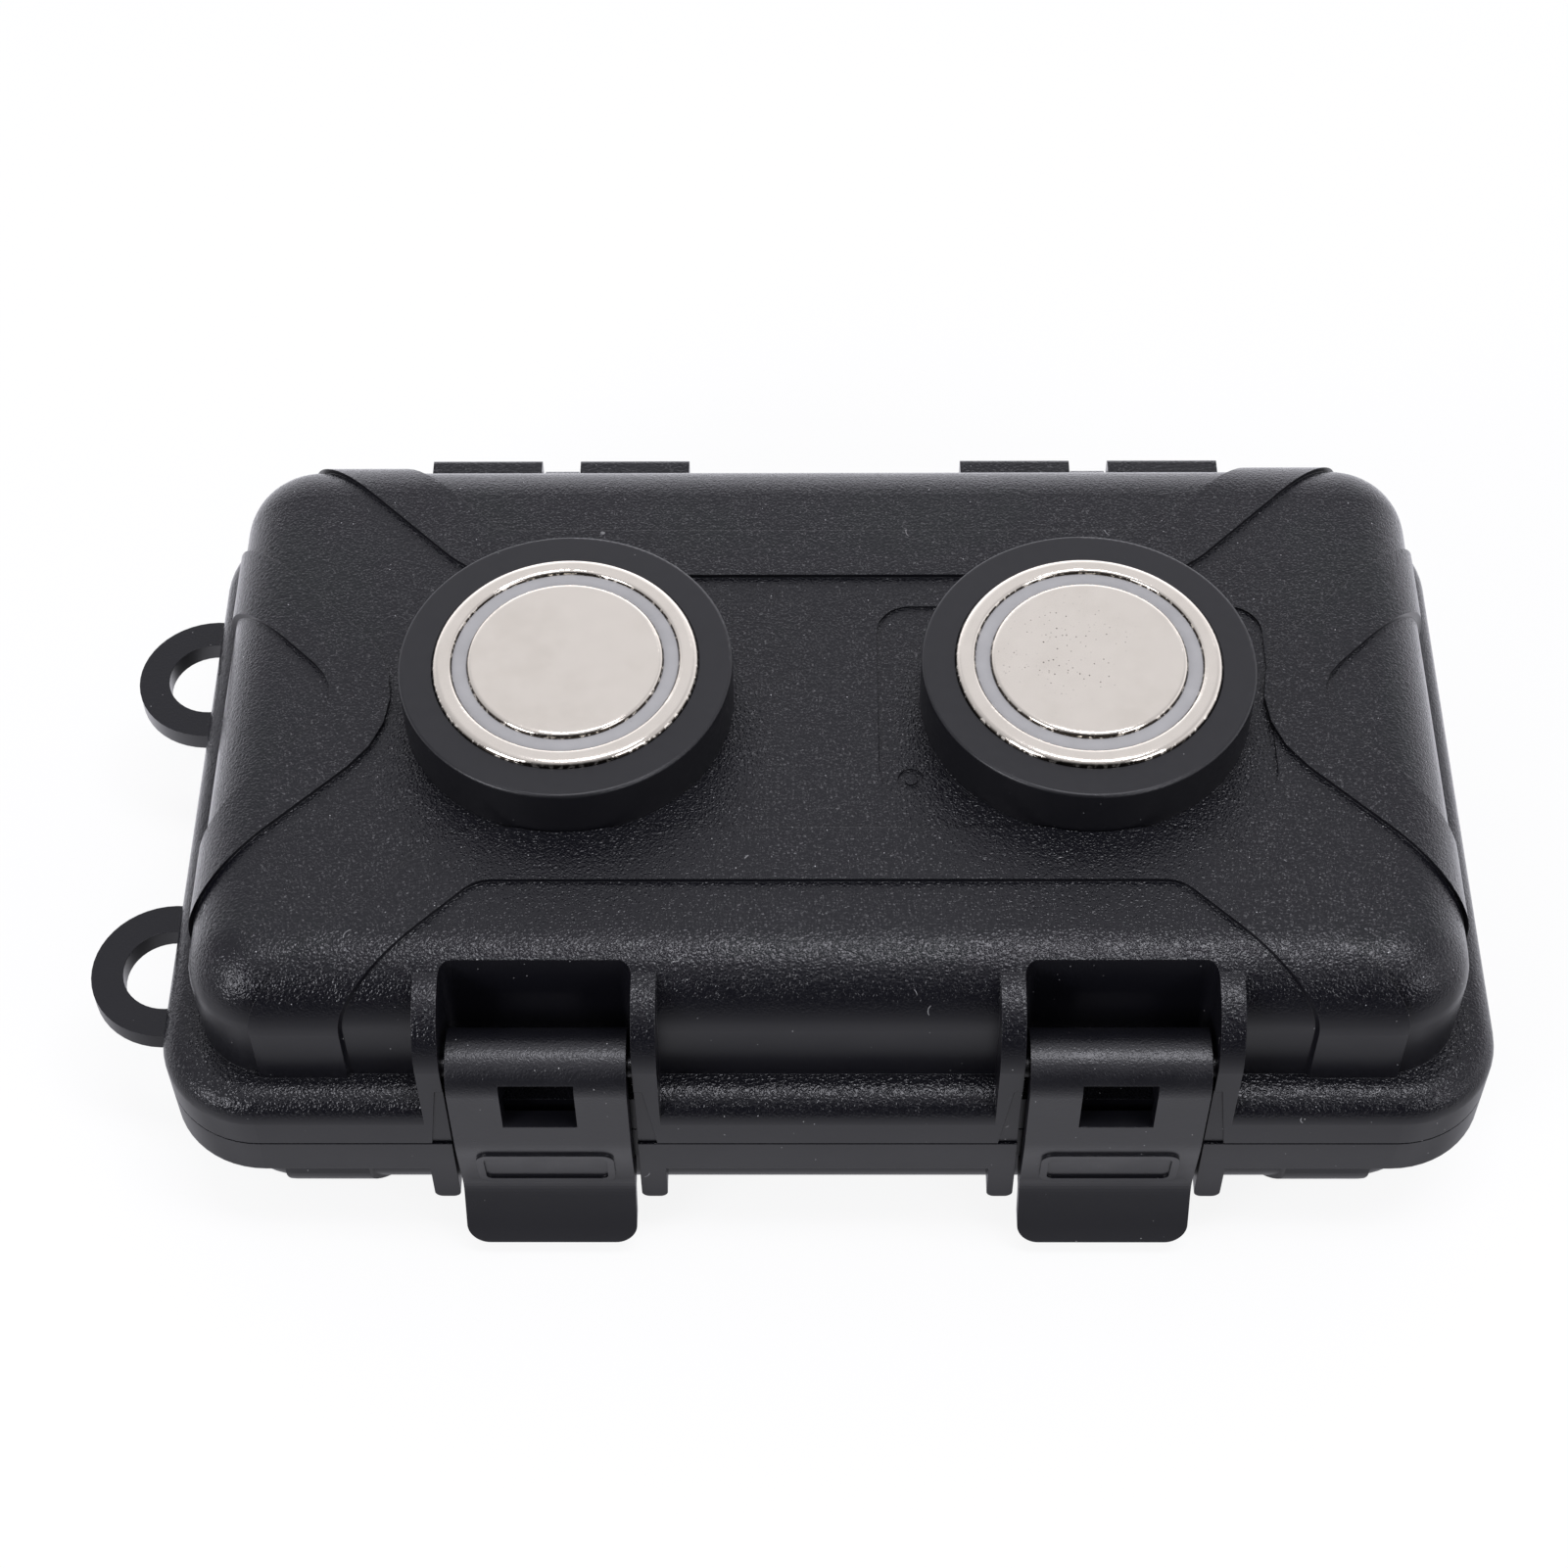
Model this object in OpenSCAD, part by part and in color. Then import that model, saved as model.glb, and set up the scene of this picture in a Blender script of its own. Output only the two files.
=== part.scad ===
// Waterproof key case that clings to steel with two rubber-collared pot magnets.
// A hinged two-part moulded shell, magnets up: the deep upper shell carries the magnets,
// the latches, the lanyard loops and the seal; the lower shell is the tray it rests on.
// Origin: centre of the flat underside. +X runs along the case, -Y is the latch side, +Z is up.

/* [Shell size] */
// Length of the shell body
body_l = 149.6; // [140:0.2:170]
// Depth of the shell body, front to back
body_d = 84; // [80:0.2:92]
// Height of the lower shell, underside to parting plane
base_h = 20; // [18:0.5:30]
// Height of the upper shell, parting plane to top panel
lid_h = 25.8; // [24.5:0.1:32]
// Radius of the upright corners of the body
corner_r = 9.4; // [9:0.1:14]
// Radius of the top edge of the upper shell
top_r = 8.5; // [6:0.1:8.8]
// Radius of the bottom edge of the lower shell
bottom_r = 5.5; // [4:0.1:8]
// Moulded wall
wall = 2.4; // [2:0.1:3]
// Gap that the seal keeps between the two rims
parting_gap = 0.25; // [0.1:0.05:0.5]

/* [Rim] */
// How far the rim stands out from the body wall
rim_w = 4.9; // [4.5:0.1:5.5]
// Radius of the upright corners of the rim
rim_corner_r = 12.1; // [10:0.1:16]
// Height of the upper shell's rim above the parting plane
lid_rim_h = 8; // [7.5:0.1:8.5]
// Radius of the upper rim's top edge
lid_rim_r = 3.5; // [2:0.1:4.5]
// Height of the lower shell's rim below the parting plane
base_rim_h = 6.1; // [5:0.1:6.5]

/* [Relief] */
// How far the raised bands stand proud
relief = 0.6; // [0.3:0.05:0.8]
// Width of a raised band
band_w = 7.4; // [6:0.1:7.4]
// Distance from the centre line to the long bands' inner edge
long_band_y = 19.5; // [18:0.1:20]
// Bend radius of a long band's inner edge
long_bend_r = 12; // [10:0.5:16]
// Distance from the centre to where a long band meets the wall
long_band_end = 67.5; // [66:0.1:69]
// Where the side bands' diagonals would cross, from the centre
side_band_x = 46.8; // [45:0.1:48]
// Nose radius of a side band's inner edge
side_nose_r = 14.8; // [12:0.1:16]

/* [Label recess] */
// Length of the recess
label_l = 47.5; // [44:0.5:50]
// Width of the recess
label_w = 29.6; // [26:0.2:34]
// Left end of the recess, from the centre
label_x = 6.2; // [5:0.1:8]
// Depth of the recess
label_depth = 0.35; // [0.2:0.05:0.5]

/* [Magnets] */
// Distance from the centre to each magnet
magnet_x = 31.26; // [30:0.02:32]
// Diameter of the magnet disc
disc_d = 23.6; // [22:0.1:24]
// How far the disc stands above the cup's rim
disc_proud = 0.15; // [0:0.05:0.3]
// Width of the filling round the disc
filling_w = 1.75; // [1.5:0.05:2]
// How far the filling sits below the cup's rim
filling_sunk = 0.5; // [0.2:0.1:0.8]
// Width of the cup's rim
cup_rim_w = 2.45; // [2.2:0.05:2.6]
// Height of the steel cup
cup_h = 8; // [7.5:0.1:10]
// Floor of the cup
cup_floor = 2.5; // [2:0.1:3]
// Thickness of the rubber collar round the cup
collar_w = 4; // [3:0.1:4.2]
// Height of the rubber collar
collar_h = 7.3; // [6.5:0.1:7.5]
// Diameter of the threaded stud
stud_d = 5; // [4:1:6]

/* [Latches] */
// Distance from the centre to each latch
latch_x = 33.6; // [32:0.1:35]
// Width of the pocket between the ears
pocket_w = 22.1; // [22:0.1:23]
// Gap on each side of a latch
latch_gap = 0.65; // [0.35:0.05:1]
// Thickness of an ear
ear_t = 2.85; // [2.6:0.05:3.2]
// Height of the pivot above the parting plane
pivot_up = 13.4; // [13:0.1:14]
// Distance from the rim's front to the pivot
pivot_in = 2.7; // [2.6:0.05:3]
// Radius of the latch's barrel
barrel_r = 4.4; // [4:0.1:4.6]
// Radius of the latch's trunnions
trunnion_r = 1.36; // [1.2:0.02:1.4]
// Width of the window in the latch
window_w = 8.7; // [7:0.1:10]

/* [Hinge] */
// Distance from the centre to each hinge
hinge_x = 35.6; // [34:0.1:37]
// Width of one knuckle of the upper shell
knuckle_w = 14.7; // [13:0.1:15]
// Gap between the two knuckles
knuckle_gap = 5.2; // [4.5:0.1:6]
// Distance from the rim's back to the hinge axis
hinge_out = 3.7; // [3.6:0.1:4]
// Height of the hinge axis above the parting plane
hinge_up = 7; // [6.8:0.1:7.5]
// Diameter of the hinge pin
hinge_pin_d = 2.4; // [2:0.1:2.6]

/* [Loops] */
// Outer radius of a lanyard loop
loop_r = 9.55; // [9:0.05:10]
// Radius of the hole in a loop
loop_hole_r = 5.65; // [5:0.05:6]
// Thickness of a loop
loop_t = 2.6; // [2:0.1:3]
// Distance from the rim's left end to the loops' centres
loop_out = 1; // [0.5:0.1:2]
// Distance between the two loops' centres
loop_pitch = 45.9; // [44:0.1:50]
// Shift of the pair towards the latches
loop_shift = 1.05; // [0:0.05:1.5]

/* [Hidden] */
$fn = 96;

black_plastic = "#2c2c2f";
black_rubber = "#161617";
nickel = "#cfc9c0";
grey_epoxy = "#8b8a88";
bright_steel = "#a9abae";

// Fits and small clearances
run_gap = 0.07;
seat_clear = 0.2;

// Shell
body_top = base_h + lid_h;
rim_l = body_l + 2 * rim_w;
rim_d = body_d + 2 * rim_w;
lid_z = base_h + parting_gap;
rim_y = rim_d / 2;
rim_edge_r = 0.4;

// Seal: its groove follows the body wall's outer line
seal_w = 2.4;
groove_h = 2.9;
seal_h = 2.05;
tongue_w = 1.2;
tongue_h = 0.8;

// Relief: every outer edge is the inner edge moved out by one band width
diagonal_step = band_w * sqrt(2);
wall_bend_r = 4;
band_past = 17;
foot_r = bottom_r - 0.3;

// Latch pocket, ears and guards
pivot = [-rim_y + pivot_in, base_h + pivot_up];
pocket_y = pivot[0] + barrel_r + 2.6;
pocket_r = 1.5;
pocket_up = 7;
pocket_floor = base_h + pocket_up;
recess_y = -rim_y + 2;
ear_r = 8.2;
ear_up = 16;
ear_arc = [-rim_y + ear_r, base_h + ear_up];
bore_r = trunnion_r + run_gap;
bore_depth = 2;
end_gap = 0.25;
ramp_h = 12;
ramp_cut = 0.3;
slot_h = 0.5;
slot_in = 0.9;
guard_w = 3.15;
guard_drop = 12.5;

// Latch outline in the Y-Z plane, from the barrel down to the flared tip
latch_w = pocket_w - 2 * latch_gap;
waist_drop = 8.8;
tip_drop = 17.6;
tip_r = 2.7;
latch_bends = [30, 7];
latch_face = [-rim_y - 1.7, -rim_y - 1.7, -rim_y - 0.5, -rim_y - 3.6];
latch_back = [-rim_y + 0.6, -rim_y + 0.6, -rim_y + 1.55, -rim_y - 1.4];
latch_z = [pivot[1], base_h + 1.5, base_h - waist_drop, base_h - tip_drop];
hook_z = base_h - base_rim_h - 0.35;
hook_y = -rim_y + 3.7;
window_up = 6.8;
window_h = 8.5;
window_z = base_h + window_up;
grip_l = 16.4;
grip_h = 7.4;
grip_drop = 7;
grip_z = [base_h - grip_drop, base_h - grip_drop + grip_h];
grip_line = 0.9;
grip_proud = 0.35;

// Hinge
hinge_axis = [rim_y + hinge_out, base_h + hinge_up];
knuckle_top = hinge_axis[1] + 4.4;
knuckle_back = hinge_axis[0] + 2.6;
arm_r = 3.1;
arm_w = knuckle_gap - 0.7;
hinge_pin_l = 2 * knuckle_w + knuckle_gap - 0.6;

// Magnet stack, from the disc outwards
cup_bore_d = disc_d + 2 * filling_w;
cup_d = cup_bore_d + 2 * cup_rim_w;
collar_d = cup_d + 2 * collar_w;
nut_af = 8;
nut_h = 4;
washer_t = 1;
stud_l = wall + washer_t + nut_h + 2.3;

function unit(v) = v / norm(v);

// Points of the arc of radius r that rounds the corner b of the path a-b-c
function corner_arc(a, b, c, r, n) =
    let (u = unit(a - b), v = unit(c - b), half = acos(u * v) / 2)
    let (hub = b + unit(u + v) * r / sin(half))
    let (p = b + u * r / tan(half) - hub, q = b + v * r / tan(half) - hub)
    let (a0 = atan2(p[1], p[0]), turn = atan2(q[1], q[0]) - a0)
    let (sweep = turn > 180 ? turn - 360 : turn < -180 ? turn + 360 : turn)
    [for (i = [0 : n]) hub + r * [cos(a0 + sweep * i / n), sin(a0 + sweep * i / n)]];

// A path with its inner corners rounded; r lists one radius per inner corner
function round_path(p, r, n = 6) = [
    p[0],
    for (i = [1 : len(p) - 2]) each corner_arc(p[i - 1], p[i], p[i + 1], r[i - 1], n),
    p[len(p) - 1]
];

function reversed(p) = [for (i = [len(p) - 1 : -1 : 0]) p[i]];

module both_x() {
    for (m = [0, 1]) mirror([m, 0, 0]) children();
}

module both_y() {
    for (m = [0, 1]) mirror([0, m, 0]) children();
}

module at_latches() {
    for (s = [-1, 1]) translate([s * latch_x, 0, 0]) children();
}

module at_hinges() {
    for (s = [-1, 1]) translate([s * hinge_x, 0, 0]) children();
}

module at_magnets() {
    for (s = [-1, 1]) translate([s * magnet_x, 0, 0]) children();
}

// Extrudes a Y-Z outline along X, centred on x = 0
module along_x(w) {
    rotate([90, 0, 90]) translate([0, 0, -w / 2]) linear_extrude(w) children();
}

// Extrudes an X-Z outline along Y, from y0 to y1
module along_y(y0, y1) {
    translate([0, y1, 0]) rotate([90, 0, 0]) linear_extrude(y1 - y0) children();
}

// Half section of a block: flat side on the axis, outer top corner rounded by r
module edge_profile(reach, h, r) {
    square([reach, h - r]);
    square([reach - r, h]);
    translate([reach - r, h - r]) circle(r);
}

// Block l x d x h with upright corners of radius rc and a top edge of radius r
module shell_block(l, d, h, rc, r) {
    both_y() along_x(l - 2 * rc) edge_profile(d / 2, h, r);
    both_x() translate([l / 2 - rc, 0, 0]) {
        along_y(-d / 2 + rc, d / 2 - rc) edge_profile(rc, h, r);
        both_y() translate([0, d / 2 - rc, 0]) rotate_extrude(angle = 90)
            intersection() {
                edge_profile(rc, h, r);
                square([rc, h]);
            }
    }
}

// Flat rounded rectangle
module rounded_rect(l, d, r) {
    square([l, d - 2 * r], center = true);
    square([l - 2 * r, d], center = true);
    both_x() both_y() translate([l / 2 - r, d / 2 - r]) circle(r);
}

// Upright ring that follows the body wall's outer line
module wall_ring(w, h) {
    both_x() {
        translate([(body_l - w) / 2, corner_r - body_d / 2, 0]) cube([w, body_d - 2 * corner_r, h]);
        both_y() translate([body_l / 2 - corner_r, body_d / 2 - corner_r, 0])
            rotate_extrude(angle = 90) translate([corner_r - w / 2, 0]) square([w, h]);
    }
    both_y() translate([corner_r - body_l / 2, (body_d - w) / 2, 0])
        cube([body_l - 2 * corner_r, w, h]);
}

// Edge of a long band: straight, a 45 degree diagonal, then square to the wall
function long_edge(y, x_end, bend) =
    let (wall_y = body_d / 2 + 1)
    round_path([[0, y], [x_end - wall_y + y, y], [x_end, wall_y], [x_end, wall_y + band_past]],
        [bend, wall_bend_r]);

// Edge of a side band: a round nose, 45 degree diagonals, then square to the wall
function side_edge(x, nose) =
    let (wall_x = body_l / 2 + 1, wall_y = wall_x - x)
    round_path([[wall_x + band_past, -wall_y], [wall_x, -wall_y], [x, 0], [wall_x, wall_y],
        [wall_x + band_past, wall_y]], [wall_bend_r, nose, wall_bend_r]);

module long_band() {
    inner = long_edge(long_band_y, long_band_end, long_bend_r);
    outer = long_edge(long_band_y + band_w, long_band_end - diagonal_step, long_bend_r - band_w);
    both_x() polygon(concat(inner, reversed(outer)));
}

module side_band() {
    inner = side_edge(side_band_x, side_nose_r);
    outer = side_edge(side_band_x + diagonal_step, side_nose_r - band_w);
    polygon(concat(inner, reversed(outer)));
}

// The four raised bands, seen from above
module band_plan() {
    both_y() long_band();
    both_x() side_band();
}

// Ear that carries a latch: its front is flush with the rim, its top follows the shell's edge
module ear_profile() {
    translate([-rim_y, lid_z]) square([ear_r, ear_arc[1] - lid_z]);
    translate([ear_arc[0], lid_z]) square([2, ear_arc[1] + ear_r - lid_z]);
    translate(ear_arc) circle(ear_r);
}

// Plan of the pocket behind a latch, open to the front
module pocket_plan() {
    translate([-pocket_w / 2, -rim_y - 5]) square([pocket_w, rim_y + 5 + pocket_y - pocket_r]);
    translate([-pocket_w / 2 + pocket_r, -rim_y])
        square([pocket_w - 2 * pocket_r, rim_y + pocket_y]);
    both_x() translate([pocket_w / 2 - pocket_r, pocket_y - pocket_r]) circle(pocket_r);
}

// Lead-in ramp in an ear's front, ending in a ledge under the trunnion bore
module ramp_face() {
    polygon([[pocket_w / 2 - 1, lid_z - 1], [pocket_w / 2 + 2.45, lid_z - 1],
        [pocket_w / 2 + 0.95, base_h + ramp_h], [pocket_w / 2 - 1, base_h + ramp_h]]);
}

// Knuckle of the upper shell: a flat-topped block round the hinge pin
module knuckle_profile() {
    r = knuckle_back - hinge_axis[0];
    root = rim_w + relief;
    translate([rim_y - root, hinge_axis[1] - r])
        square([hinge_axis[0] - rim_y + root, knuckle_top - hinge_axis[1] + r]);
    translate(hinge_axis) circle(r);
    translate(hinge_axis) square([r, knuckle_top - hinge_axis[1] - 1]);
    translate([hinge_axis[0] - 0.5, hinge_axis[1]]) square([r - 0.5, knuckle_top - hinge_axis[1]]);
    translate([knuckle_back - 1, knuckle_top - 1]) circle(1);
}

// Hinge arm of the lower shell, with a sloped foot under the rim
module arm_profile() {
    foot = base_h - base_rim_h;
    translate(hinge_axis) circle(arm_r);
    polygon([[rim_y - 2, base_h], [rim_y - 2, foot], [rim_y, foot], [hinge_axis[0] + arm_r, base_h - 1.5],
        [hinge_axis[0] + arm_r, hinge_axis[1]], [hinge_axis[0] - arm_r, hinge_axis[1]],
        [hinge_axis[0] - arm_r, base_h]]);
}

// Half-round lanyard loop at a height on the left rim
module loop(z) {
    translate([0, 0, z]) linear_extrude(loop_t) intersection() {
        translate([-rim_l / 2 - loop_out, 0]) difference() {
            circle(loop_r);
            circle(loop_hole_r);
        }
        translate([-rim_l / 2 - loop_r - 4, -loop_r - 1]) square([loop_r + 5, 2 * loop_r + 2]);
    }
}

module label_plan() {
    difference() {
        translate([label_x + label_l / 2, 0]) rounded_rect(label_l, label_w, 4.2);
        translate([magnet_x, 0]) circle(d = collar_d + 2 * seat_clear);
    }
}

module upper_body() {
    difference() {
        translate([0, 0, lid_z]) shell_block(body_l, body_d, body_top - lid_z, corner_r, top_r);
        translate([0, 0, body_top - label_depth]) linear_extrude(1) label_plan();
        // Gate mark: a round groove in the corner of the recess
        translate([label_x + 3.8, -label_w / 2 + 3, body_top - label_depth - 0.3])
            rotate_extrude() translate([0.75, 0]) square([0.85, 1]);
    }
    // Raised bands, cleared where the collars sit
    difference() {
        intersection() {
            translate([0, 0, lid_z]) shell_block(body_l + 2 * relief, body_d + 2 * relief,
                body_top - lid_z + relief, corner_r + relief, top_r + relief);
            translate([0, 0, lid_z]) linear_extrude(lid_h + 5) band_plan();
        }
        at_magnets() translate([0, 0, body_top]) cylinder(d = collar_d + 2 * seat_clear, h = 3);
    }
}

module upper_cavity() {
    difference() {
        translate([0, 0, lid_z - 1]) shell_block(body_l - 2 * wall, body_d - 2 * wall,
            body_top - lid_z + 1 - wall, corner_r - wall, top_r - wall);
        // Walls round the latch pockets
        at_latches() translate([-pocket_w / 2 - wall, -rim_y, pocket_floor - wall])
            cube([pocket_w + 2 * wall, rim_y + pocket_y + wall, lid_h]);
    }
}

module upper_shell() {
    color(black_plastic) difference() {
        union() {
            upper_body();
            translate([0, 0, lid_z]) shell_block(rim_l, rim_d, lid_rim_h - parting_gap,
                rim_corner_r, lid_rim_r);
            at_latches() both_x() translate([(pocket_w + ear_t) / 2, 0, 0])
                along_x(ear_t) ear_profile();
            at_hinges() both_x() translate([(knuckle_gap + knuckle_w) / 2, 0, 0])
                along_x(knuckle_w) knuckle_profile();
            for (s = [-1, 1]) translate([0, s * loop_pitch / 2 - loop_shift, 0]) loop(lid_z);
        }
        upper_cavity();
        at_latches() {
            translate([0, 0, pocket_floor]) linear_extrude(lid_h) pocket_plan();
            translate([-pocket_w / 2, -rim_y - 1, base_h - 1])
                cube([pocket_w, 1 + recess_y + rim_y, pocket_floor - base_h + 2]);
            rotate([0, 90, 0]) translate([-pivot[1], pivot[0], 0])
                cylinder(r = bore_r, h = pocket_w + 2 * bore_depth, center = true, $fn = 48);
            both_x() {
                along_y(-rim_y - 1, -rim_y + ramp_cut) ramp_face();
                // Slot over the ramp's end
                translate([pocket_w / 2 - 1, -rim_y - 1, base_h + ramp_h - slot_h])
                    cube([1.95, 1 + slot_in, slot_h]);
            }
        }
        at_hinges() rotate([0, 90, 0]) translate([-hinge_axis[1], hinge_axis[0], 0])
            cylinder(r = hinge_pin_d / 2 + run_gap, h = 2 * knuckle_w + knuckle_gap + 2,
                center = true, $fn = 48);
        translate([0, 0, lid_z - 1]) wall_ring(seal_w, groove_h + 1);
        at_magnets() translate([0, 0, body_top - wall - 1])
            cylinder(d = stud_d + 0.5, h = wall + 2, $fn = 48);
    }
}

module lower_shell() {
    color(black_plastic) difference() {
        union() {
            translate([0, 0, base_h]) mirror([0, 0, 1]) {
                shell_block(body_l, body_d, base_h, corner_r, bottom_r);
                shell_block(rim_l, rim_d, base_rim_h, rim_corner_r, rim_edge_r);
                // The bands run down the walls and fade out round the bottom edge
                intersection() {
                    shell_block(body_l + 2 * relief, body_d + 2 * relief, base_h - relief / 2,
                        corner_r + relief, foot_r);
                    linear_extrude(base_h + 1) band_plan();
                }
            }
            // Guards each side of a latch
            at_latches() both_x() along_y(-rim_y, -rim_y + rim_w + wall / 2)
                translate([pocket_w / 2, base_h - guard_drop]) {
                    translate([0, 1]) square([guard_w, guard_drop - 1]);
                    translate([1, 0]) square([guard_w - 2, 1.5]);
                    translate([1, 1]) circle(1);
                    translate([guard_w - 1, 1]) circle(1);
                }
            at_hinges() along_x(arm_w) arm_profile();
            translate([0, 0, base_h]) wall_ring(tongue_w, tongue_h);
        }
        translate([0, 0, base_h + 1]) mirror([0, 0, 1])
            shell_block(body_l - 2 * wall, body_d - 2 * wall, base_h + 1 - wall,
                corner_r - wall, bottom_r - wall);
        at_latches() translate([-pocket_w / 2, -rim_y - 1, base_h - base_rim_h - 1])
            cube([pocket_w, 1 + recess_y + rim_y, base_rim_h + 2]);
        at_hinges() rotate([0, 90, 0]) translate([-hinge_axis[1], hinge_axis[0], 0])
            cylinder(r = hinge_pin_d / 2 + run_gap / 2, h = arm_w + 2, center = true, $fn = 48);
    }
}

module lid_seal() {
    color(black_rubber) translate([0, 0, lid_z + groove_h - seal_h]) wall_ring(seal_w, seal_h);
}

// Outline of the latch in the Y-Z plane; proud moves its front out
module latch_profile(proud = 0) {
    face = [for (i = [0 : 3]) [latch_face[i] - proud, latch_z[i]]];
    back = [for (i = [0 : 3]) [latch_back[i], latch_z[i]]];
    polygon(concat(round_path(face, latch_bends), reversed(round_path(back, latch_bends))));
}

// Front outline of the latch, square at the barrel and rounded at the tip
module latch_front() {
    tip = latch_z[3];
    translate([-latch_w / 2, tip + tip_r]) square([latch_w, pivot[1] + barrel_r - tip]);
    translate([-latch_w / 2 + tip_r, tip]) square([latch_w - 2 * tip_r, 2 * tip_r]);
    both_x() translate([latch_w / 2 - tip_r, tip + tip_r]) circle(tip_r);
}

module latch() {
    color(black_plastic) difference() {
        union() {
            intersection() {
                along_x(latch_w) {
                    latch_profile();
                    translate(pivot) circle(barrel_r);
                    // Hook that grips under the lower rim
                    polygon([[latch_face[2] + 1, hook_z], [hook_y, hook_z], [hook_y, hook_z - 1.2],
                        [latch_back[2], hook_z - 4.5], [latch_face[2] + 1, hook_z - 4.5]]);
                }
                // Rounded lower corners
                along_y(latch_face[3] - 1, pocket_y) latch_front();
            }
            // Raised outline of the grip
            intersection() {
                along_x(latch_w) latch_profile(grip_proud);
                along_y(-rim_y - 4, -rim_y + 1) translate([0, (grip_z[0] + grip_z[1]) / 2])
                    difference() {
                        rounded_rect(grip_l, grip_z[1] - grip_z[0], 1.6);
                        rounded_rect(grip_l - 2 * grip_line,
                            grip_z[1] - grip_z[0] - 2 * grip_line, 0.8);
                    }
            }
            // Trunnions that snap into the ears
            rotate([0, 90, 0]) translate([-pivot[1], pivot[0], 0])
                cylinder(r = trunnion_r, h = pocket_w + 2 * (bore_depth - end_gap),
                    center = true, $fn = 48);
        }
        translate([-window_w / 2, latch_face[3], window_z])
            cube([window_w, pocket_y - latch_face[3], window_h]);
    }
}

module hinge_pin() {
    color(bright_steel) rotate([0, 90, 0]) translate([-hinge_axis[1], hinge_axis[0], 0])
        cylinder(d = hinge_pin_d, h = hinge_pin_l, center = true, $fn = 48);
}

// Steel cup with a rounded rim and a blind hole for the stud
module magnet_cup() {
    color(nickel) translate([0, 0, body_top]) difference() {
        rotate_extrude() {
            square([cup_d / 2, cup_floor]);
            translate([cup_bore_d / 2, 0]) square([cup_rim_w, cup_h - 1]);
            translate([cup_bore_d / 2 + 0.6, 0]) square([cup_rim_w - 1.6, cup_h]);
            translate([cup_d / 2 - 1, cup_h - 1]) circle(1);
            translate([cup_bore_d / 2 + 0.6, cup_h - 0.6]) circle(0.6);
            translate([cup_bore_d / 2, cup_floor]) square([1, cup_h - 0.6 - cup_floor]);
        }
        translate([0, 0, -1]) cylinder(d = stud_d, h = 2.5, $fn = 48);
    }
}

// Magnet disc with a rounded upper edge
module magnet_disc() {
    h = cup_h - cup_floor + disc_proud;
    color(nickel) translate([0, 0, body_top + cup_floor]) rotate_extrude()
        intersection() {
            edge_profile(disc_d / 2, h, 0.7);
            square([disc_d / 2, h]);
        }
}

// Filling between the disc and the cup
module epoxy_ring() {
    color(grey_epoxy) translate([0, 0, body_top + cup_floor]) rotate_extrude()
        translate([disc_d / 2, 0]) square([filling_w, cup_h - cup_floor - filling_sunk]);
}

// Rubber collar, straight sided, with a slightly rounded top edge
module rubber_collar() {
    color(black_rubber) translate([0, 0, body_top]) rotate_extrude()
        translate([cup_d / 2, 0]) {
            square([collar_w, collar_h - 0.4]);
            square([collar_w - 0.4, collar_h]);
            translate([collar_w - 0.4, collar_h - 0.4]) circle(0.4);
        }
}

// Threaded stud: a core with thread crests below the shell
module stud() {
    pitch = 0.8;
    core_r = stud_d / 2 - 0.4;
    plain = 3 * pitch;
    color(bright_steel) translate([0, 0, body_top - stud_l]) rotate_extrude() {
        square([core_r, stud_l + 1.5]);
        translate([0, plain]) square([stud_d / 2, stud_l + 1.5 - plain]);
        for (i = [0 : 2]) translate([0, 0.1 + i * pitch])
            polygon([[0, 0], [core_r, 0], [stud_d / 2, 0.35], [core_r, 0.7], [0, 0.7]]);
    }
}

module washer() {
    color(bright_steel) translate([0, 0, body_top - wall - washer_t]) difference() {
        cylinder(d = 2 * stud_d, h = washer_t);
        translate([0, 0, -1]) cylinder(d = stud_d + 0.3, h = washer_t + 2, $fn = 48);
    }
}

module lock_nut() {
    color(bright_steel) translate([0, 0, body_top - wall - washer_t - nut_h]) difference() {
        intersection() {
            cylinder(d = nut_af / cos(30), h = nut_h, $fn = 6);
            rotate_extrude() polygon([[0, 0], [nut_af / 2 - 0.1, 0], [nut_af / 2 + 0.65, 0.6],
                [nut_af / 2 + 0.65, nut_h], [0, nut_h]]);
        }
        translate([0, 0, -1]) cylinder(d = stud_d, h = nut_h + 2, $fn = 48);
    }
}

upper_shell();
lower_shell();
lid_seal();
translate([-latch_x, 0, 0]) latch();  // latch_left
translate([latch_x, 0, 0]) latch();  // latch_right
translate([-hinge_x, 0, 0]) hinge_pin();  // hinge_pin_left
translate([hinge_x, 0, 0]) hinge_pin();  // hinge_pin_right
translate([-magnet_x, 0, 0]) magnet_cup();  // magnet_cup_left
translate([magnet_x, 0, 0]) magnet_cup();  // magnet_cup_right
translate([-magnet_x, 0, 0]) magnet_disc();  // magnet_disc_left
translate([magnet_x, 0, 0]) magnet_disc();  // magnet_disc_right
translate([-magnet_x, 0, 0]) epoxy_ring();  // epoxy_ring_left
translate([magnet_x, 0, 0]) epoxy_ring();  // epoxy_ring_right
translate([-magnet_x, 0, 0]) rubber_collar();  // rubber_collar_left
translate([magnet_x, 0, 0]) rubber_collar();  // rubber_collar_right
translate([-magnet_x, 0, 0]) stud();  // stud_left
translate([magnet_x, 0, 0]) stud();  // stud_right
translate([-magnet_x, 0, 0]) washer();  // washer_left
translate([magnet_x, 0, 0]) washer();  // washer_right
translate([-magnet_x, 0, 0]) lock_nut();  // lock_nut_left
translate([magnet_x, 0, 0]) lock_nut();  // lock_nut_right
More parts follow.
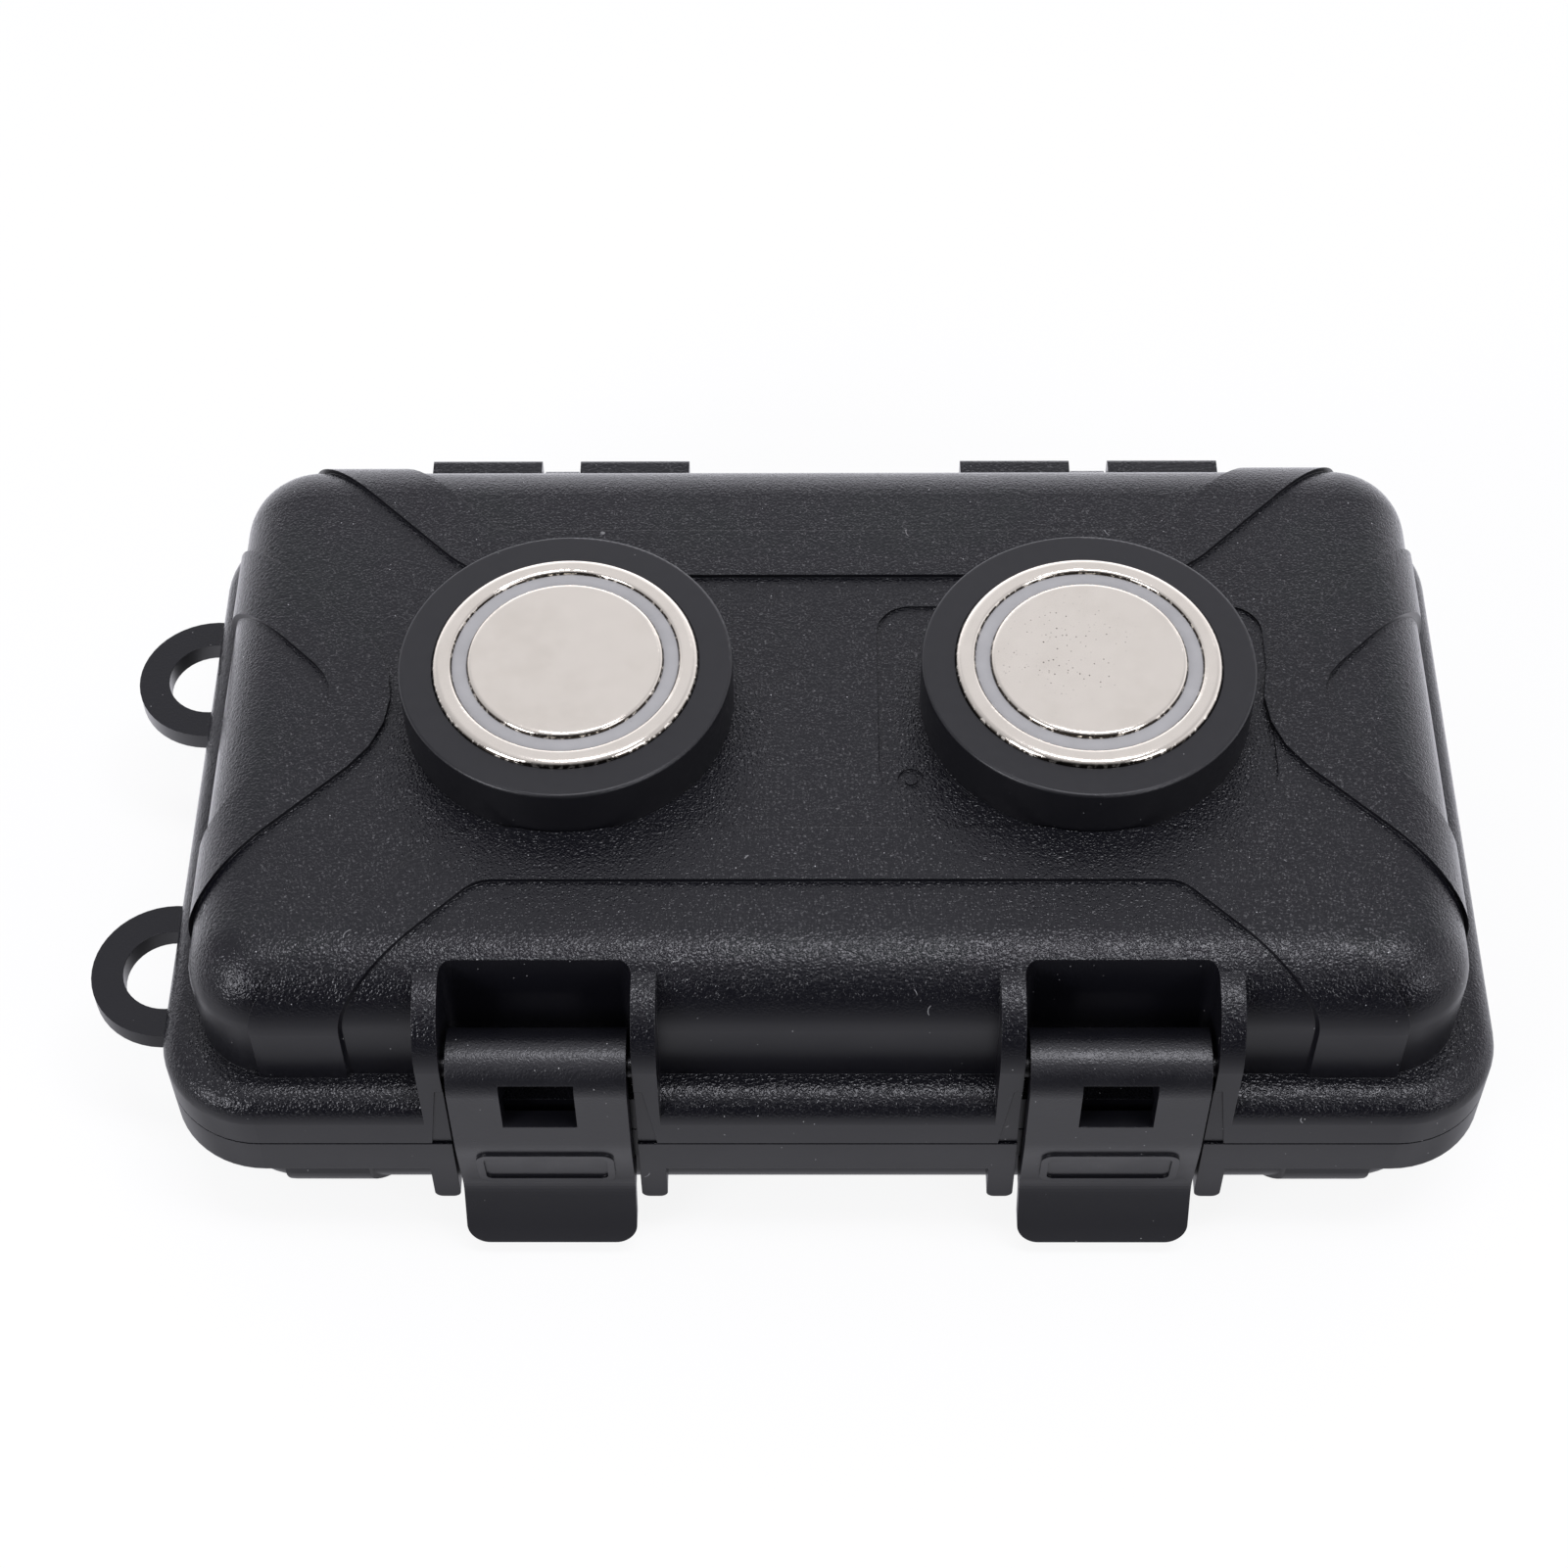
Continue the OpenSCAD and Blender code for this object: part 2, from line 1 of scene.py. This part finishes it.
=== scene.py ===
"""Looks of the magnetic key case: procedural materials, floor, studio light and camera.

Lengths are in metres, angles in degrees and colours in linear light. The latches are on
the -Y side, the lanyard loops at the -X end, and +Z looks out of the magnet faces.
"""
from math import cos, radians, sin

import bpy
from mathutils import Matrix, Vector


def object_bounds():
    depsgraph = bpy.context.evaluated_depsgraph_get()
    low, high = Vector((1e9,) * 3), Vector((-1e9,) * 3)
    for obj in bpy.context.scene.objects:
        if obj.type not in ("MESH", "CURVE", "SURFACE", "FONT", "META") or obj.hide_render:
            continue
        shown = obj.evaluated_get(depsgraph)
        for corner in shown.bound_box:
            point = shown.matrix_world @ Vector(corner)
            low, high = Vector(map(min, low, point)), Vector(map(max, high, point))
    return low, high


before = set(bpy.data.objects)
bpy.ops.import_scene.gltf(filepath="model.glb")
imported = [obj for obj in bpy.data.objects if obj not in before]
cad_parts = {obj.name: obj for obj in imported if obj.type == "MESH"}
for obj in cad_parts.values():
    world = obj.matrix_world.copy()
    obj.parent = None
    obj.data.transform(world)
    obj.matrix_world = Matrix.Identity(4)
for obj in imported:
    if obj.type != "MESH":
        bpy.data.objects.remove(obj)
cad_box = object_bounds()
scene = bpy.context.scene

NOISE_RANGE = 0.3, 0.7       # a noise hardly ever leaves this range
SPECK_CORE = 0.6             # share of its radius over which a speck is full
SPECK_CHANCE = 0.9           # cells drawn above this hold a full speck
HAIR = 0.00002, 0.00006      # half a hair's width, where it is full and where it ends
HAIR_ARC = 0.76, 0.84        # cosine to the arc's middle, where it ends and where it is full
GRAIN_STIR = 0.7             # how quickly the bending of the grain changes, per pebble
GRAIN_SHIFT = 0.9            # how far it is bent, in pebbles
GRAIN_VALLEY = 0.40          # from a valley's middle to the flat top, in pebbles
GRAIN_SWELL = 2.6            # slow rise and fall, against 1 for a pebble
BEVEL_SAMPLES = 4


def rgb(r, g, b):
    return (r, g, b, 1.0)


def grey(value):
    return rgb(value, value, value)


class Graph:
    """A material's or the world's node tree, built by short calls."""

    def __init__(self, owner):
        owner.use_nodes = True
        self.tree = owner.node_tree
        self.tree.nodes.clear()

    def fill(self, socket, value):
        """Links another node's output to a socket, or sets the socket to a constant."""
        if isinstance(value, bpy.types.NodeSocket):
            self.tree.links.new(value, socket)
        else:
            socket.default_value = value

    def add(self, kind, inputs=(), **settings):
        """A new node of this kind, with its inputs by name or number."""
        node = self.tree.nodes.new("ShaderNode" + kind)
        for name, value in settings.items():
            setattr(node, name, value)
        for key, value in dict(inputs).items():
            self.fill(node.inputs[key], value)
        return node

    def put(self, shader, **inputs):
        """Fills a shader's inputs by name, with _ for a space."""
        for key, value in inputs.items():
            self.fill(shader.inputs[key.replace("_", " ")], value)

    def math(self, how, first, *others):
        """The first value combined with each of the others in turn."""
        for other in others or (0.0,):
            first = self.add("Math", {0: first, 1: other}, operation=how).outputs[0]
        return first

    def times(self, *factors):
        return self.math("MULTIPLY", *factors)

    def plus(self, *terms):
        return self.math("ADD", *terms)

    def vector(self, how, *inputs):
        """A vector node's result: a number for a length or a dot product."""
        outputs = self.add("VectorMath", dict(enumerate(inputs)), operation=how).outputs
        return outputs["Value" if how in ("LENGTH", "DOT_PRODUCT") else "Vector"]

    def axis(self, vector, letter):
        return self.add("SeparateXYZ", {"Vector": vector}).outputs[letter]

    def ramp(self, value, start, end, at_start=0.0, at_end=1.0, how="SMOOTHSTEP"):
        """Goes from at_start to at_end while the value goes from start to end."""
        return self.add("MapRange", {"Value": value, "From Min": start, "From Max": end,
                                     "To Min": at_start, "To Max": at_end},
                        interpolation_type=how).outputs["Result"]

    def line(self, value, start, end, at_start, at_end):
        """A ramp with sharp ends."""
        return self.ramp(value, start, end, at_start, at_end, "LINEAR")

    def between(self, share, at_none, at_all):
        """Goes from at_none to at_all with a share from 0 to 1."""
        return self.line(share, 0.0, 1.0, at_none, at_all)

    def blend(self, amount, a, b):
        return self.add("Mix", {0: amount, 6: a, 7: b}, data_type="RGBA").outputs[2]

    def noise(self, at, scale, detail=2.0, rough=0.5):
        """A noise with about this many features to the metre."""
        return self.add("TexNoise", {"Vector": at, "Scale": scale, "Detail": detail,
                                     "Roughness": rough}).outputs["Fac"]

    def cells(self, at, scale, feature="F1"):
        return self.add("TexVoronoi", {"Vector": at, "Scale": scale}, feature=feature).outputs

    def bump(self, height, strength, distance, bevel):
        """A bump over edges that look rounded by the bevel's radius."""
        edges = self.add("Bevel", {"Radius": bevel}, samples=BEVEL_SAMPLES)
        return self.add("Bump", {"Height": height, "Strength": strength, "Distance": distance,
                                 "Normal": edges.outputs["Normal"]}).outputs["Normal"]

    def upright(self, low, high):
        """1 on faces that look up or down, 0 on walls, in the piece's own frame."""
        z = self.axis(self.add("TexCoord").outputs["Normal"], "Z")
        return self.ramp(self.math("ABSOLUTE", z), low, high)

    def dust(self, at, scale, radius, least):
        """Sparse specks in the middles of those cells whose random number exceeds least."""
        cell = self.cells(at, scale)
        near = self.ramp(cell["Distance"], radius * scale * SPECK_CORE, radius * scale, 1.0, 0.0)
        chosen = self.add("SeparateColor", {"Color": cell["Color"]}).outputs["Red"]
        return self.times(near, self.ramp(chosen, least, SPECK_CHANCE))

    def lint(self, at, scale, radius):
        """Short curved hairs: arcs of this radius about the cells' middles."""
        cell = self.cells(at, scale)
        away = self.vector("SUBTRACT", at, cell["Position"])
        turn = self.vector("SUBTRACT", cell["Color"], (0.5, 0.5, 0.5))
        facing = self.vector("DOT_PRODUCT", self.vector("NORMALIZE", away),
                             self.vector("NORMALIZE", turn))
        off = self.math("ABSOLUTE", self.math("SUBTRACT", self.vector("LENGTH", away), radius))
        return self.times(self.ramp(off, *HAIR, 1.0, 0.0), self.ramp(facing, *HAIR_ARC))

    def grain(self, at, cell):
        """Leather-like mould grain: uneven pebbles with flat tops and narrow valleys."""
        stir = self.add("TexNoise", {"Vector": at, "Scale": GRAIN_STIR / cell, "Detail": 1.0})
        shift = self.add("VectorMath", {0: stir.outputs["Color"], "Scale": GRAIN_SHIFT * cell},
                         operation="SCALE")
        bent = self.vector("ADD", at, shift.outputs[0])
        edge = self.cells(bent, 1.0 / cell, "DISTANCE_TO_EDGE")["Distance"]
        swell = self.times(self.noise(bent, 1.0 / cell, detail=1.0), GRAIN_SWELL)
        return self.plus(self.ramp(edge, 0.0, GRAIN_VALLEY), swell)


# Colours of the materials, from darkest to palest where a noise blends two
BLACK = rgb(0.0040, 0.0040, 0.0060), rgb(0.0062, 0.0062, 0.0086)
COLLAR_BLACK = rgb(0.0045, 0.0045, 0.0060), rgb(0.0065, 0.0065, 0.0085)
SEAL_BLACK = grey(0.010), grey(0.016)
DUST = grey(0.42)
COLLAR_DUST = grey(0.25)
EPOXY = rgb(0.345, 0.342, 0.340), rgb(0.430, 0.426, 0.424)
EPOXY_DUST = grey(0.12)
NICKEL, NICKEL_STAIN = rgb(0.845, 0.790, 0.700), rgb(0.800, 0.745, 0.655)
# painted dark reflection and shade, laid on the steep edges of the plating
NICKEL_PAINTED_DARK = rgb(0.060, 0.050, 0.040)
NICKEL_PIT = rgb(0.10, 0.085, 0.07)
STEEL, STEEL_STAIN = rgb(0.55, 0.56, 0.58), rgb(0.44, 0.45, 0.46)

# Sizes of what lies on the surfaces, and places on the pieces
SPECK, PIT = 0.00009, 0.00012            # radius of a speck of dust, and of a pit
HAIR_RADIUS = 0.0011                     # of the arc that a hair follows
SHELL_GRAIN, BARREL_GRAIN = 0.00042, 0.00040     # across a pebble
LOOPS_END = -0.0808, -0.0798             # X where the smooth lanyard loops meet the case
BARREL_FOOT = 0.031, 0.035               # Z where a latch's plate turns into its barrel
LATCH_PLATE = 0.005, 0.022               # Z over which the plate's gloss grows upward
PITTED_SPOT = 0.0285, 0.0012, 0.0537     # middle of the pits on the right-hand disc
SPOT_SPREAD = 90.0                       # growth of the distance from it, per metre


def shell_look(g, at, shader):
    """Moulded plastic: grain on flat and rounded faces, smooth walls and loops."""
    off_loops = g.ramp(g.axis(at, "X"), *LOOPS_END, 0.2)
    flat = g.times(g.upright(0.20, 0.60), off_loops)
    colour = g.blend(g.noise(at, 45.0, detail=3.0), *BLACK)
    specks = g.math("MAXIMUM", g.dust(at, 750.0, SPECK, least=0.66),
                    g.times(g.lint(at, 90.0, HAIR_RADIUS), 0.5))
    rough = g.plus(g.line(g.noise(at, 160.0, detail=4.0), *NOISE_RANGE, -0.02, 0.02),
                   g.between(flat, 0.31, 0.22))
    height = g.plus(g.times(g.grain(at, SHELL_GRAIN), flat),
                    g.times(g.noise(at, 1500.0), 0.10))
    g.put(shader, Base_Color=g.blend(specks, colour, DUST), Roughness=rough,
          Specular_IOR_Level=0.38,
          Normal=g.bump(height, strength=1.0, distance=0.000032, bevel=0.00014))


def latch_look(g, at, shader):
    """Moulded plastic: smooth plate, duller toward its tip, and faint grain on the barrel."""
    z = g.axis(at, "Z")
    barrel = g.ramp(z, *BARREL_FOOT)
    colour = g.blend(g.noise(at, 70.0, detail=3.0), *BLACK)
    specks = g.dust(at, 750.0, SPECK, least=0.66)
    rough = g.plus(g.line(g.noise(at, 220.0, detail=4.0), *NOISE_RANGE, 0.27, 0.34),
                   g.times(barrel, 0.04))
    height = g.plus(g.times(g.grain(at, BARREL_GRAIN), barrel, 0.5),
                    g.times(g.noise(at, 1300.0), 0.30))
    g.put(shader, Base_Color=g.blend(specks, colour, DUST), Roughness=rough,
          Specular_IOR_Level=g.line(z, *LATCH_PLATE, 0.28, 0.56),
          Normal=g.bump(height, strength=1.0, distance=0.000026, bevel=0.00012))


def collar_look(g, at, shader):
    """Smooth rubber with fine scuffs and a little dust."""
    colour = g.blend(g.noise(at, 60.0, detail=3.0), *COLLAR_BLACK)
    specks = g.dust(at, 600.0, SPECK, least=0.7)
    scuff = g.noise(at, 900.0, detail=5.0, rough=0.7)
    height = g.noise(at, 2600.0)
    g.put(shader, Base_Color=g.blend(specks, colour, COLLAR_DUST),
          Roughness=g.line(scuff, 0.35, 0.65, 0.32, 0.40),
          Normal=g.bump(height, strength=0.30, distance=0.00001, bevel=0.0002))


def seal_look(g, at, shader):
    """Soft dull rubber."""
    tint = g.noise(at, 120.0, detail=3.0)
    height = g.noise(at, 3000.0, detail=3.0)
    g.put(shader, Base_Color=g.blend(tint, *SEAL_BLACK),
          Roughness=g.ramp(tint, *NOISE_RANGE, 0.6, 0.75),
          Normal=g.bump(height, strength=0.25, distance=0.00005, bevel=0.0003))


def nickel_look(g, at, shader):
    """Plating: soft waves, faint stains, a painted dark reflection and shade on steep edges, and
    pits on the right-hand disc.
    """
    flat = g.upright(0.90, 0.985)
    away = g.vector("LENGTH", g.vector("SUBTRACT", at, PITTED_SPOT))
    spot = g.plus(g.times(away, SPOT_SPREAD), g.noise(at, 260.0))
    pits = g.times(g.dust(at, 1700.0, PIT, least=0.1), g.ramp(spot, 0.75, 1.35, 1.0, 0.04))
    stain = g.ramp(g.noise(at, 140.0, detail=5.0, rough=0.6), 0.42, 0.75)
    # the painted dark reflection and shade covers steep faces, except for bright noise flecks
    free_of_painted_dark = g.math("MAXIMUM", g.upright(0.50, 0.84),
                  g.ramp(g.noise(at, 1500.0, detail=3.0), 0.53, 0.62))
    colour = g.blend(free_of_painted_dark, NICKEL_PAINTED_DARK, g.blend(stain, NICKEL, NICKEL_STAIN))
    dents = g.times(g.noise(at, 1700.0, detail=3.0), g.between(flat, 1.0, 0.25))
    waves = g.plus(g.noise(at, 260.0), dents)
    rough = g.plus(g.between(flat, 0.08, 0.17),
                   g.line(g.noise(at, 500.0, detail=4.0), *NOISE_RANGE, 0.0, 0.06))
    height = g.math("SUBTRACT", waves, g.times(pits, 0.5))
    g.put(shader, Base_Color=g.blend(pits, colour, NICKEL_PIT), Metallic=1.0, Roughness=rough,
          Normal=g.bump(height, strength=0.25, distance=0.00008, bevel=0.00012))


def epoxy_look(g, at, shader):
    """Dull grey filling with dark specks."""
    tint = g.noise(at, 300.0, detail=4.0)
    specks = g.dust(at, 700.0, SPECK, least=0.75)
    g.put(shader, Base_Color=g.blend(specks, g.blend(tint, *EPOXY), EPOXY_DUST),
          Roughness=g.ramp(tint, *NOISE_RANGE, 0.32, 0.45),
          Normal=g.bump(tint, strength=0.3, distance=0.0001, bevel=0.0002))


def steel_look(g, at, shader):
    """Zinc-plated steel with fine lines along X."""
    lines = g.add("Mapping", {"Vector": at, "Scale": (400.0, 4000.0, 4000.0)}).outputs[0]
    turned = g.noise(lines, 1.0, detail=3.0)
    g.put(shader, Base_Color=g.blend(g.noise(at, 260.0, detail=4.0), STEEL, STEEL_STAIN),
          Metallic=1.0, Roughness=g.ramp(turned, *NOISE_RANGE, 0.28, 0.42),
          Normal=g.bump(turned, strength=0.2, distance=0.00003, bevel=0.00015))


def surface(name, look):
    """A material whose Principled shader is filled in by look(graph, place, shader)."""
    material = bpy.data.materials.new(name)
    g = Graph(material)
    shader = g.add("BsdfPrincipled")
    look(g, g.add("TexCoord").outputs["Object"], shader)
    g.add("OutputMaterial", {"Surface": shader.outputs[0]})
    return material


looks = {
    "upper_shell": shell_look, "lower_shell": shell_look, "latch": latch_look,
    "lid_seal": seal_look, "rubber_collar": collar_look, "magnet": nickel_look,
    "epoxy_ring": epoxy_look, "stud": steel_look, "washer": steel_look,
    "lock_nut": steel_look, "hinge_pin": steel_look,
}
made = {}
for name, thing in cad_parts.items():
    kind = next(k for k in looks if name.startswith(k))
    if kind not in made:
        made[kind] = surface(kind + "_finish", looks[kind])
    for material_slot in thing.material_slots:
        material_slot.material = made[kind]


# Floor: white to the camera with the object's shadow kept; to reflections it glows in bands of
# painted light and painted shadow
COOL_WHITE = rgb(0.97, 0.965, 1.04)
PAPER = grey(0.78), grey(0.80)
SHADOW_SHARE = 0.12          # of what the camera sees; the rest glows evenly
FLOOR_REACH, FLOOR_GAP = 3, 0.0002
PAINTED_REFLECTION_BANDS = (          # Y from and to, strength at each, of painted light and shadow that only reflections see
    (-0.26, -0.09, 0.45, 1.0),       # dim far in front
    (-0.130, -0.072, 0.42, 0.76),    # brighter toward the case
    (-0.068, -0.062, 1.0, 0.70),     # a dark line and a bright one before it
    (-0.0605, -0.0575, 1.0, 1.70),
    (-0.055, -0.051, 1.0, 0.5),      # painted shadow of the case at its foot
    (-0.050, 0.02, 1.0, 3.3),        # painted light under and behind it
)


def floor_look():
    material = bpy.data.materials.new("floor_paper")
    g = Graph(material)
    ray = g.add("LightPath").outputs
    at = g.add("TexCoord").outputs["Object"]
    paper = g.add("BsdfDiffuse", {"Color": g.blend(g.noise(at, 30.0), *PAPER)})
    seen = g.add("MixShader", {0: SHADOW_SHARE,
                               1: g.add("Emission", {"Strength": 1.0}).outputs[0],
                               2: g.add("BsdfDiffuse", {"Color": grey(1.0)}).outputs[0]})
    y = g.axis(at, "Y")
    # painted light and painted shadow, glowing from the floor to glossy and transmission rays
    painted_reflection_strength = g.times(*(g.line(y, *band) for band in PAINTED_REFLECTION_BANDS))
    painted_reflection = g.add("Emission", {"Color": COOL_WHITE, "Strength": painted_reflection_strength})
    shiny = g.math("MAXIMUM", ray["Is Glossy Ray"], ray["Is Transmission Ray"])
    mixed = g.add("MixShader", {0: shiny, 1: paper.outputs[0], 2: painted_reflection.outputs[0]})
    final = g.add("MixShader", {0: ray["Is Camera Ray"], 1: mixed.outputs[0],
                                2: seen.outputs[0]})
    g.add("OutputMaterial", {"Surface": final.outputs[0]})
    return material


corners = [(x * FLOOR_REACH, y * FLOOR_REACH, 0) for x, y in ((-1, -1), (1, -1), (1, 1), (-1, 1))]
sheet = bpy.data.meshes.new("floor")
sheet.from_pydata(corners, [], [(0, 1, 2, 3)])
floor = bpy.data.objects.new("floor", sheet)
floor.location.z = cad_box[0].z - FLOOR_GAP
sheet.materials.append(floor_look())
scene.collection.objects.link(floor)


# World: a white surround, brighter near the horizon, dark on the latch side
DIFFUSE_SHARE = 0.75         # of its strength, as light on dull faces


def studio_look(world):
    g = Graph(world)
    way = g.add("TexCoord").outputs["Generated"]
    x, y, z = (g.axis(way, letter) for letter in "XYZ")
    diffuse = g.add("LightPath").outputs["Is Diffuse Ray"]
    strength = g.times(
        g.line(z, 0.0, 0.68, 1.50, 0.80),        # brighter near the horizon
        g.line(y, 0.68, 1.0, 1.0, 1.50),         # and behind the case
        g.line(y, -0.85, -0.35, 0.03, 1.0),      # dark on the latch side
        g.ramp(x, -0.98, -0.60, 0.62, 1.0),      # dim at the left end
        g.ramp(x, 0.75, 1.0, 1.0, 1.22),         # bright at the right end
        g.ramp(g.math("ABSOLUTE", x), 0.25, 0.60, 1.0, 0.80),
        g.between(diffuse, 1.0, DIFFUSE_SHARE))
    sky = g.add("Background", {"Color": COOL_WHITE, "Strength": strength})
    g.add("OutputWorld", {"Surface": sky.outputs[0]})


scene.world = bpy.data.worlds.new("studio")
studio_look(scene.world)


# Lamps: name, place, target, size and watts
LAMP_COLOUR = 0.93, 0.93, 1.0
LAMPS = (
    ("overhead", (0.125, -0.06, 1.0), (0.0, -0.03, 0.04), (0.18, 0.60), 3.9),
    ("left_front", (-0.67, -0.62, 0.44), (0.0, 0.0, 0.04), (0.40, 0.40), 4.4),
    ("right_front", (0.65, -0.62, 0.46), (0.0, 0.0, 0.04), (0.36, 0.36), 1.9),
)
for name, place, target, size, watts in LAMPS:
    light = bpy.data.lights.new(name, "AREA")
    light.shape = "RECTANGLE"
    light.size, light.size_y = size
    light.energy = watts
    light.color = LAMP_COLOUR
    lamp = bpy.data.objects.new(name, light)
    lamp.location = place
    aim = Vector(target) - Vector(place)
    lamp.rotation_euler = aim.to_track_quat("-Z", "Y").to_euler()
    scene.collection.objects.link(lamp)


# Camera at the photograph's angle
ELEVATION, YAW, ROLL = 53.183, -0.754, -0.651
EYE = -0.002264, -0.230851, 0.337213
FOCAL_PIXELS, PHOTO_PIXELS = 3129.0, 1601.0
SENSOR_MM = 36.0
CLIP = 0.01, 20.0

elevation, yaw, roll = radians(ELEVATION), radians(YAW), radians(ROLL)
ahead = Vector((sin(yaw) * cos(elevation), cos(yaw) * cos(elevation), -sin(elevation)))
across = Vector((cos(yaw), -sin(yaw), 0.0))
above = across.cross(ahead)
right = across * cos(roll) + above * sin(roll)
top = above * cos(roll) - across * sin(roll)
facing = Matrix((right, top, -ahead)).transposed().to_4x4()
camera = bpy.data.objects.new("camera", bpy.data.cameras.new("camera"))
camera.matrix_world = Matrix.Translation(EYE) @ facing
camera.data.sensor_width = SENSOR_MM
camera.data.lens = SENSOR_MM * FOCAL_PIXELS / PHOTO_PIXELS
camera.data.clip_start, camera.data.clip_end = CLIP
scene.collection.objects.link(camera)
scene.camera = camera
scene.view_settings.view_transform = "Standard"
